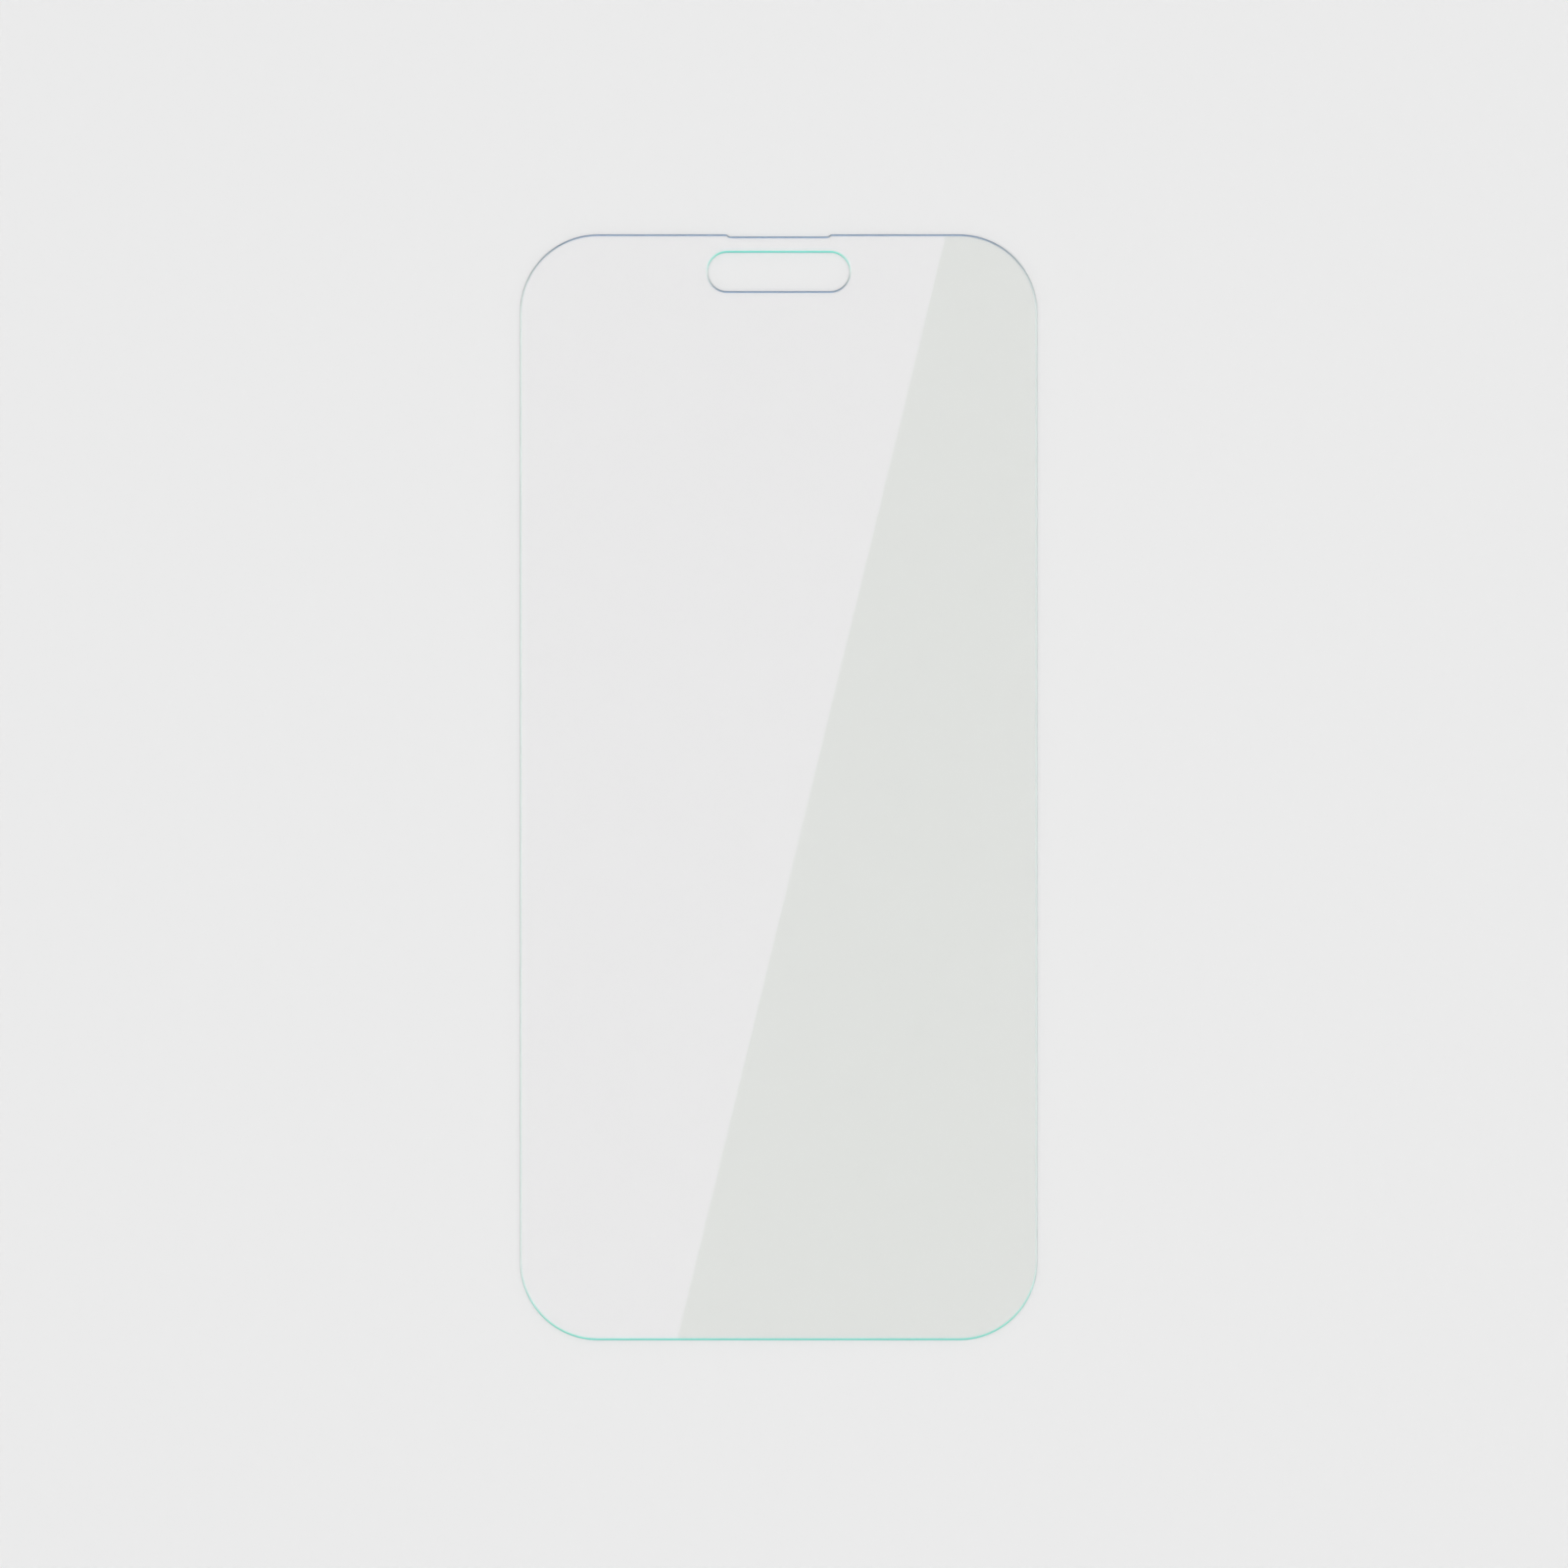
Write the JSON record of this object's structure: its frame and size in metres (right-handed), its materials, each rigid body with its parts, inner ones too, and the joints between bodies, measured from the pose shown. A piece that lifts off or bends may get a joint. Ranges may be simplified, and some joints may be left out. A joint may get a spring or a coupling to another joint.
{
  "type": "phone screen protector",
  "caption": "Clear flat glass sheet with rounded corners, a ground edge, a pill-shaped camera opening and a shallow earpiece notch; bonds over a phone's screen.",
  "frame": {"origin": "centre of the back face, which lies on Z = 0", "axes": "+Z out of the front face, +Y to the end with the camera opening and the earpiece notch, +X to the right as the front face is looked at with +Y up"},
  "size_m": [0.0732, 0.1562, 0.0003],
  "materials": {
    "glass": "polished"
  },
  "bodies": {
    "root": {"glass_sheet": "glass"}
  },
  "joints": []
}
